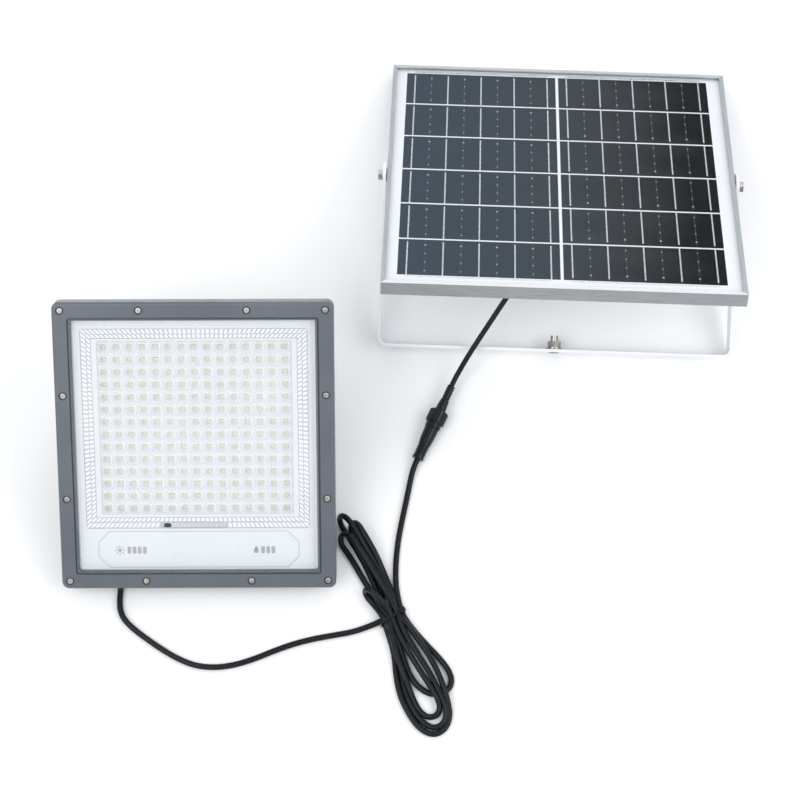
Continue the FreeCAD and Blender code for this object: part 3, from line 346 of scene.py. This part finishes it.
RIBBON = brushed("ribbon_tin", (0.74, 0.76, 0.80), (0.88, 0.90, 0.93), 0.30, (1, 1, 1), 300.0)
SHEET_GLASS = clear("sheet_glass", (0.03, 0.035, 0.04), 0.035)
LAMP_GLASS = clear("lamp_glass", (0.55, 0.58, 0.62), 0.03)
# painted highlight: the plate's outer edge and the tops of the hatch ribs are the plate's own
# plastic, given a brighter white
WHITE_HIGHLIGHT = painted("plate_highlight", (0.88, 0.90, 0.91), (0.91, 0.92, 0.93), 0.25, grain=1200.0,
                    depth=0.000008, coat=0.4)
HATCH_SHADE = painted("plate_shade", (0.50, 0.52, 0.54), (0.57, 0.59, 0.61), 0.35, grain=1200.0,
                      depth=0.000008)
MARK_GREY = painted("mark_grey", (0.36, 0.37, 0.38), (0.41, 0.42, 0.43), 0.45, grain=1200.0,
                    depth=0.00003)
# painted shade: the grey-lilac of the lens walls and bowls stands in for the dark surroundings that
# the clear domes refract
LENS_WALL_SHADE = clear("lens_wall_shade", (0.70, 0.71, 0.74), 0.62, 0.12)
LENS_SHOULDER = clear("lens_shoulder", (0.93, 0.94, 0.96), 0.70, 0.08)
LENS_BOWL_SHADE = clear("lens_bowl_shade", (0.78, 0.79, 0.84), 0.55, 0.10)
LENS_CLEAR = clear("lens_clear", (0.95, 0.95, 0.96), 0.12, 0.05)
WINDOW_TINT = clear("window_tint", (0.58, 0.60, 0.67), 0.85, 0.15)
EYE_BLACK = rubber("eye_black", (0.010, 0.011, 0.013), (0.018, 0.020, 0.024), 0.18)
# painted glint on the receiver's eye
EYE_GLINT = painted("eye_glint", (0.32, 0.55, 0.50), (0.50, 0.70, 0.64), 0.2, coat=0.5)
BUSBAR_LINE = brushed("busbar_line", (0.10, 0.095, 0.085), (0.15, 0.14, 0.125), 0.45, (1, 1, 1),
                      300.0)
BUSBAR_DOT = brushed("busbar_dot", (0.52, 0.49, 0.42), (0.68, 0.64, 0.56), 0.40, (1, 1, 1), 500.0)
CELL_SILICON_AND_REFLECTION = silicon()
WHITE_PLATE = painted("plate_white", (0.72, 0.75, 0.77), (0.74, 0.77, 0.79), 0.3, grain=1200.0,
                      depth=0.000008, coat=0.3)

FINISHES = {
    BEZEL: ["front_bezel"],
    HOUSING: ["rear_housing"],
    WHITE_PAINT: ["light_bracket", "panel_bracket"],
    ZINC: ["light_pivot_washers", "panel_pivot_washers", "junction_box_lid_screws",
           "pivot_nut_plates"],
    ANODISED_ACROSS: ["frame_top_rail", "frame_corner_keys", "heat_spreader"],
    ANODISED_SHADE_AND_HIGHLIGHT: ["frame_bottom_rail"],
    ANODISED_ALONG_SHADED: ["frame_left_rail", "frame_right_rail"],
    SCREW_ZINC: ["bezel_screws"],
    BOLT_ZINC: ["panel_pivot_bolts", "light_pivot_bolts", "centre_bolt",
                "centre_washers", "centre_nut"],
    BLACK_PLASTIC: ["breather_vent", "light_gland", "light_gland_nut", "battery_holder",
                    "controller_parts", "ir_receiver", "junction_box", "junction_box_lid",
                    "junction_box_diode", "junction_box_gland", "panel_pivot_spacers"],
    PLUG_BLACK: ["plug_body", "coupling_nut", "socket_body", "cable_tie"],
    GASKET: ["front_gasket", "seal_ring"],
    BOARD_WHITE: ["led_board"],
    PHOSPHOR: ["led_chips", "indicator_leds"],
    BOARD_GREEN: ["indicator_board", "controller_board"],
    CELL_SLEEVE: ["battery_cells"],
    BACKSHEET: ["panel_backsheet"],
    RIBBON: ["cell_ribbons"],
    SHEET_GLASS: ["panel_glass"],
    LAMP_GLASS: ["front_glass"],
}
for node_finish, node_names in FINISHES.items():
    for node_name in node_names:
        slots = NODES[node_name].data.materials
        slots.clear()
        slots.append(node_finish)


# ---- cords ----
def cord_curve(name, points, radius, material):
    curve = bpy.data.curves.new(name, "CURVE")
    curve.dimensions = "3D"
    spline = curve.splines.new("NURBS")
    spline.points.add(len(points) - 1)
    for target, point in zip(spline.points, points):
        target.co = (*(value * MM for value in point), 1.0)
    spline.order_u = 3
    spline.use_endpoint_u = True
    spline.resolution_u = 8
    curve.bevel_depth = radius * MM
    curve.bevel_resolution = 5
    curve.use_fill_caps = True
    curve.materials.append(material)
    piece = bpy.data.objects.new(name, curve)
    bpy.context.scene.collection.objects.link(piece)
    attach(piece, "kit")
    return piece


panel_lead = cord_curve("panel_lead", PANEL_CORD, PANEL_CORD_R, CORD_JACKET)
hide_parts("panel_cable")
lamp_lead = cord_curve("lamp_lead", LAMP_RUN + HANK_RUN + SOCKET_RUN, LAMP_CORD_R, CORD_JACKET)
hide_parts("lamp_cable", "socket_cable", "cable_hank")


# ---- meshes built from rings of points, in millimetres ----
def rounded_loop(x_span, y_span, radius, z, steps=4):
    """A rounded rectangle as a ring of points, anticlockwise from its right side."""
    (left, right), (front, back) = x_span, y_span
    corners = ((right - radius, back - radius, 0), (left + radius, back - radius, 90),
               (left + radius, front + radius, 180), (right - radius, front + radius, 270))
    ring = []
    for x, y, start in corners:
        for step in range(steps + 1):
            angle = math.radians(start + 90 * step / steps)
            ring.append((x + radius * math.cos(angle), y + radius * math.sin(angle), z))
    return ring


def squarish_loop(mid, half, power, z, count=24):
    """A ring between a circle (power 2) and a square (high power)."""
    ring = []
    for step in range(count):
        angle = 2 * math.pi * step / count
        c, s = math.cos(angle), math.sin(angle)
        reach = (abs(c) ** power + abs(s) ** power) ** (-1.0 / power)
        ring.append((mid[0] + half[0] * reach * c, mid[1] + half[1] * reach * s, z))
    return ring


class Shell:
    """Points and faces of one piece, with a finish for every band of faces."""

    def __init__(self):
        self.points, self.faces, self.slots = [], [], []

    def ring(self, points):
        start = len(self.points)
        self.points.extend(points)
        return list(range(start, len(self.points)))

    def face(self, corners, slot):
        self.faces.append(corners)
        self.slots.append(slot)

    def loft(self, loops, slots=0, closed=False, top=None, bottom=None):
        rings = [self.ring(loop) for loop in loops]
        pairs = list(zip(rings, rings[1:] + rings[:1] if closed else rings[1:]))
        for index, (first, second) in enumerate(pairs):
            slot = slots if isinstance(slots, int) else slots[index]
            for a, b, c, d in zip(first, first[1:] + first[:1], second[1:] + second[:1], second):
                self.face((a, b, c, d), slot)
        if top is not None:
            self.face(tuple(rings[-1]), top)
        if bottom is not None:
            self.face(tuple(reversed(rings[0])), bottom)

    def pad(self, loops, slot=0):
        self.loft(loops, slot, top=slot, bottom=slot)

    def piece(self, name, finishes, place, slot, smooth=False):
        mesh = bpy.data.meshes.new(name)
        mesh.from_pydata([[value * MM for value in point] for point in self.points], [], self.faces)
        for finish in finishes:
            mesh.materials.append(finish)
        mesh.polygons.foreach_set("material_index", self.slots)
        mesh.polygons.foreach_set("use_smooth", [smooth] * len(self.faces))
        mesh.update()
        built = bpy.data.objects.new(name, mesh)
        built.matrix_world = place
        bpy.context.scene.collection.objects.link(built)
        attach(built, "kit")
        return built


# ---- the light's face: plate, ribs, lenses, window and plaque ----
def box_loop(frame_size, grow, z, radius=2.0):
    half_x, back, front = frame_size
    return rounded_loop((-half_x - grow, half_x + grow), (front - grow, back + grow), radius, z)


def lens_frame():
    half_w, half_h = PLATE_W / 2, PLATE_H / 2
    plate = (half_w, half_h, -half_h)
    hole = (LED_COLUMNS * LED_PITCH[0] / 2, LED_MID_Y + LED_ROWS * LED_PITCH[1] / 2,
            LED_MID_Y - LED_ROWS * LED_PITCH[1] / 2)
    top, low = PLATE_TOP, PLATE_TOP - 2.0
    floor_z = PLATE_TOP - 0.75
    loops = [
        box_loop(plate, 0, low, 3.0), box_loop(plate, 0, top - 0.5, 3.0),
        box_loop(plate, -0.5, top, 3.0), box_loop(plate, -3.2, top, 2.5),
        box_loop(HATCH, 0.4, top, 2.0), box_loop(HATCH, 0, floor_z, 1.8),
        box_loop(FIELD, 0.3, floor_z, 1.2), box_loop(FIELD, 0, top, 1.2),
        box_loop(hole, 0.6, top, 1.0), box_loop(hole, 0, top - 0.9, 0.6),
        box_loop(hole, 0, low, 0.6),
    ]
    shell = Shell()
    shell.loft(loops, [0, 0, 0, 1, 2, 2, 2, 1, 1, 1, 1], closed=True)
    built = shell.piece("lens_frame", [WHITE_HIGHLIGHT, WHITE_PLATE, HATCH_SHADE], LIGHT, "lens_plastic")
    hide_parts("lens_plate")


def rib(shell, middle, across, length, lean):
    """One pillow rib; across is the row's direction, lean its slope along that direction."""
    loops = []
    for width, inset, z in RIB_PROFILE:
        loop = []
        for x, y in ((1, -1), (1, 1), (-1, 1), (-1, -1)):
            depth = y * (length / 2 - inset)
            side = x * RIB_HALF * width + depth * lean
            loop.append((middle[0] + (side if across == "x" else depth),
                         middle[1] + (depth if across == "x" else side), PLATE_TOP + z))
        loops.append(loop if across == "x" else loop[::-1])
    shell.loft(loops, 0, top=0)


def hatch_ribs():
    shell = Shell()
    for row, (share, reach) in enumerate(HATCH_ROWS):
        half_x = HATCH[0] + (FIELD[0] - HATCH[0]) * share
        back = HATCH[1] + (FIELD[1] - HATCH[1]) * share
        front = HATCH[2] + (FIELD[2] - HATCH[2]) * share
        length = (HATCH[1] - FIELD[1]) * reach
        count = int(2 * half_x / HATCH_PITCH)
        for index in range(count + 1):
            x = -half_x + index * 2 * half_x / count
            for y in (back, front):
                if y == front and row == 0 and WINDOW[0] - 2 < x < WINDOW[1] + 2:
                    continue
                lean = (x - RIB_AIM[0]) / (y - RIB_AIM[1])
                rib(shell, (x, y), "x", length, max(-RIB_LEAN_MAX, min(RIB_LEAN_MAX, lean)))
        count = int((back - front) / HATCH_PITCH)
        for index in range(1, count):
            y = front + index * (back - front) / count
            for x in (-half_x, half_x):
                lean = (y - RIB_AIM[1]) / (x - RIB_AIM[0])
                rib(shell, (x, y), "y", length * HATCH_SIDE_STRETCH,
                    max(-RIB_LEAN_MAX, min(RIB_LEAN_MAX, lean)))
    shell.piece("hatch_ribs", [WHITE_HIGHLIGHT], LIGHT, "lens_plastic")


def led_lenses():
    shell = Shell()
    for column in range(LED_COLUMNS):
        for row in range(LED_ROWS):
            x = (column - (LED_COLUMNS - 1) / 2) * LED_PITCH[0]
            y = LED_MID_Y + (row - (LED_ROWS - 1) / 2) * LED_PITCH[1]
            loops = [squarish_loop((x, y + shift), (half_x, half_y), power, PLATE_TOP - depth)
                     for half_x, half_y, shift, power, depth in LENS_PROFILE]
            shell.loft(loops, [0, 1, 2, 3, 4], top=4)
    shell.piece("led_lenses", [WHITE_PLATE, LENS_WALL_SHADE, LENS_SHOULDER, LENS_BOWL_SHADE, LENS_CLEAR], LIGHT,
                "lens_plastic", smooth=True)


def indicator_window():
    left, right, front, back = WINDOW
    shell = Shell()
    base = PLATE_TOP - WINDOW_DEPTH
    top_wide, top_tall = (left + 0.3, right - 0.3), (front + 0.3, back - 0.3)
    shell.pad([rounded_loop((left, right), (front, back), 2.2, base),
               rounded_loop(top_wide, top_tall, 2.0, base + 0.4)], 0)
    for index in range(WINDOW_BUMPS):
        x = left + 11 + (right - left - 13) * index / (WINDOW_BUMPS - 1)
        for y, size in ((front + 1.8, 0.95), (back - 1.8, 0.8)):
            shell.pad([squarish_loop((x, y), (size, size * 1.3), 2.6, base + 0.4, 12),
                       squarish_loop((x, y), (size * 0.6, size * 0.8), 2.2, base + 0.62, 12)], 1)
    shell.piece("indicator_window", [WINDOW_TINT, LENS_SHOULDER], LIGHT, "lens_plastic",
                smooth=True)
    eye = Shell()
    middle = (left + 6.2, (front + back) / 2)
    eye.pad([squarish_loop(middle, (4.2, 2.6), 3.0, base + 0.02),
             squarish_loop(middle, (4.0, 2.4), 2.8, base + 0.35),
             squarish_loop(middle, (2.9, 1.5), 2.4, base + 0.62)], 0)
    # painted glint: a green spot at the eye's left end stands in for a reflection on the receiver
    glint = (left + 1.9, middle[1])
    eye.pad([squarish_loop(glint, (1.3, 1.9), 2.4, base + 0.05),
             squarish_loop(glint, (0.8, 1.3), 2.2, base + 0.6)], 1)
    built = eye.piece("receiver_eye", [EYE_BLACK, EYE_GLINT], LIGHT, "dark_plastic", smooth=True)
    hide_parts("ir_receiver")


def octagon_loop(half_x, front, back, chamfer, z):
    return [(half_x, front + chamfer, z), (half_x, back - chamfer, z),
            (half_x - chamfer, back, z), (-half_x + chamfer, back, z),
            (-half_x, back - chamfer, z), (-half_x, front + chamfer, z),
            (-half_x + chamfer, front, z), (half_x - chamfer, front, z)]


def name_plaque():
    half_x, front, back = PLAQUE
    shell = Shell()
    loops = [octagon_loop(half_x - inset, front + inset, back - inset, chamfer, PLATE_TOP + height)
             for inset, chamfer, height in PLAQUE_PROFILE]
    shell.loft(loops, [1, 1, 1], top=0, bottom=0)
    shell.piece("name_plaque", [WHITE_PLATE, HATCH_SHADE], LIGHT, "lens_plastic")


def plaque_marks():
    """Plain pictograms in pale grey: a sun with charge bars, and a drop with seal rings."""
    shell = Shell()
    low, high = (PLATE_TOP + height for height in MARK_HEIGHTS)

    def spot(x, y, half_x, half_y, power=2.0, turn=0.0):
        loops = []
        for grow, z in ((0.0, low), (-0.08, high)):
            ring = squarish_loop((0, 0), (half_x + grow, half_y + grow), power, z, 24)
            c, s = math.cos(turn), math.sin(turn)
            loops.append([(x + c * px - s * py, y + s * px + c * py, pz) for px, py, pz in ring])
        shell.pad(loops, 0)

    def bars(first_x, count):
        for index in range(count):
            spot(first_x + BAR_PITCH * index, MARK_Y, 1.8, 3.6, 7)

    spot(SUN_X, MARK_Y, 2.0, 2.0)
    for index in range(8):
        turn = math.pi * index / 4
        ray_x, ray_y = SUN_X + RAY_REACH * math.cos(turn), MARK_Y + RAY_REACH * math.sin(turn)
        spot(ray_x, ray_y, 1.1, 0.5, 5, turn)
    bars(SUN_X + 9.0, 4)
    spot(DROP_X, MARK_Y - 0.9, 2.6, 2.6)
    spot(DROP_X, MARK_Y + 1.7, 1.45, 2.3, 1.3)
    bars(DROP_X + 6.6, 3)
    shell.piece("plaque_marks", [MARK_GREY], LIGHT, "lens_plastic")


# ---- the panel's face: cells, bare busbars and tinned ribbons ----
def cell_middles():
    """Every cell as its column (-1 left, 1 right) and its middle."""
    for column in (-1, 1):
        for row in range(CELL_ROWS):
            yield (column, CELLS_MID[0] + column * (CELL_W + CELL_GAP[0]) / 2,
                   CELLS_MID[1] + (row - (CELL_ROWS - 1) / 2) * (CELL_H + CELL_GAP[1]))


def cell_sheets():
    shell = Shell()
    for _, x, y in cell_middles():
        half_x, half_y = CELL_W / 2, CELL_H / 2
        wide, tall = (x - half_x, x + half_x), (y - half_y, y + half_y)
        top_wide = (x - half_x + 0.1, x + half_x - 0.1)
        top_tall = (y - half_y + 0.1, y + half_y - 0.1)
        shell.pad([rounded_loop(wide, tall, 0.4, CELL_LEVELS[0], 2),
                   rounded_loop(wide, tall, 0.4, CELL_LEVELS[1], 2),
                   rounded_loop(top_wide, top_tall, 0.4, CELL_LEVELS[2], 2)], 0)
    built = shell.piece("cell_sheets", [CELL_SILICON_AND_REFLECTION], PANEL, "panel_cell")
    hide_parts("solar_cells")


def line_place(x, index, first):
    """Where a line crosses the cell at x: every fourth step, from the step named first."""
    return x + ((4 * index + first) / LINE_STEPS - 0.5) * CELL_W


def bare_busbars():
    shell = Shell()
    for column, x, y in cell_middles():
        for index in range(RIBBONS - 1):
            line_x = line_place(x, index, 3)
            span = (y - CELL_H / 2 + BUSBAR_INSET, y + CELL_H / 2 - BUSBAR_INSET)
            shell.pad([rounded_loop((line_x - width, line_x + width), span, 0.1, z, 1)
                       for width, z in zip(BUSBAR_HALVES, BUSBAR_LEVELS)], 0)
            for dot in range(DOTS):
                dot_y = y - column * (CELL_H / 2 - DOT_FIRST - DOT_PITCH * dot)
                half = 1.0 if dot == 0 else 0.7
                top = half - 0.12
                shell.pad([squarish_loop((line_x, dot_y), (half, half), 2.4, DOT_LEVELS[0], 12),
                           squarish_loop((line_x, dot_y), (top, top), 2.4, DOT_LEVELS[1], 12)], 1)
    shell.piece("bare_busbars", [BUSBAR_LINE, BUSBAR_DOT], PANEL, "ribbon_metal")


def tinned_ribbons():
    shell = Shell()
    half = RIBBON_WIDTH / 2

    def strip(x_span, y_span):
        (left, right), (front, back) = x_span, y_span
        top_wide, top_tall = (left + 0.2, right - 0.2), (front + 0.2, back - 0.2)
        shell.pad([rounded_loop((left, right), (front, back), 0.3, RIBBON_LEVELS[0], 2),
                   rounded_loop((left, right), (front, back), 0.3, RIBBON_LEVELS[1], 2),
                   rounded_loop(top_wide, top_tall, 0.25, RIBBON_LEVELS[2], 2)], 0)

    for column, x, y in cell_middles():
        for index in range(RIBBONS):
            line_x = line_place(x, index, 1)
            reach = (CELL_H / 2 - RIBBON_SHORT, CELL_H / 2 + RIBBON_OVERHANG)
            front, back = (reach[1], reach[0]) if column < 0 else reach
            strip((line_x - half, line_x + half), (y - front, y + back))
    span = CELL_W * 8.0 / LINE_STEPS + half
    edge = CELL_ROWS * (CELL_H + CELL_GAP[1]) / 2 + 1.2
    for column in (-1, 1):
        x = CELLS_MID[0] + column * (CELL_W + CELL_GAP[0]) / 2
        for side in (-1, 1):
            y = CELLS_MID[1] + side * edge
            strip((x - span, x + span), (y - 0.7, y + 0.7))
    built = shell.piece("tinned_ribbons", [RIBBON], PANEL, "ribbon_metal")
    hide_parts("cell_ribbons")


lens_frame()
hatch_ribs()
led_lenses()
indicator_window()
name_plaque()
plaque_marks()
cell_sheets()
bare_busbars()
tinned_ribbons()


# ---- stage ----
def floor():
    bpy.ops.mesh.primitive_plane_add(size=30)
    plane = bpy.context.object
    plane.name = "floor"
    surface = Finish("floor_white")
    surface.colour(surface.noise(2.0, 2.0), (0.93, 0.93, 0.93), (0.95, 0.95, 0.95))
    surface.shader.inputs["Roughness"].default_value = 0.6
    plane.data.materials.append(surface.material)


def area_light(name, place, target, size, power):
    data = bpy.data.lights.new(name, "AREA")
    data.shape = "RECTANGLE"
    data.size, data.size_y = size
    data.energy = power
    lamp = bpy.data.objects.new(name, data)
    lamp.location = place
    lamp.rotation_euler = (Vector(target) - Vector(place)).to_track_quat("-Z", "Y").to_euler()
    bpy.context.scene.collection.objects.link(lamp)


def camera():
    data = bpy.data.cameras.new("camera")
    data.lens = 98.1
    data.sensor_width = 36.0
    view = bpy.data.objects.new("camera", data)
    view.location = (-0.0101, -0.83913, 2.0747)
    view.rotation_euler = (math.radians(20.0), 0.0, 0.0)
    bpy.context.scene.collection.objects.link(view)
    bpy.context.scene.camera = view


def sky():
    world = bpy.data.worlds.new("studio")
    bpy.context.scene.world = world
    world.use_nodes = True
    background = world.node_tree.nodes["Background"]
    background.inputs["Color"].default_value = (0.95, 0.97, 1.0, 1.0)
    background.inputs["Strength"].default_value = 0.82


floor()
camera()
sky()
area_light("key", (-1.2, -1.0, 2.2), (0, 0, 0), (1.6, 1.6), 22.0)
area_light("fill", (1.5, -0.6, 1.8), (0, 0, 0), (1.6, 1.2), 14.0)
area_light("rear", (0.4, 1.6, 1.9), (0, 0, 0.1), (1.6, 1.0), 9.0)
bpy.context.scene.view_settings.view_transform = "Standard"
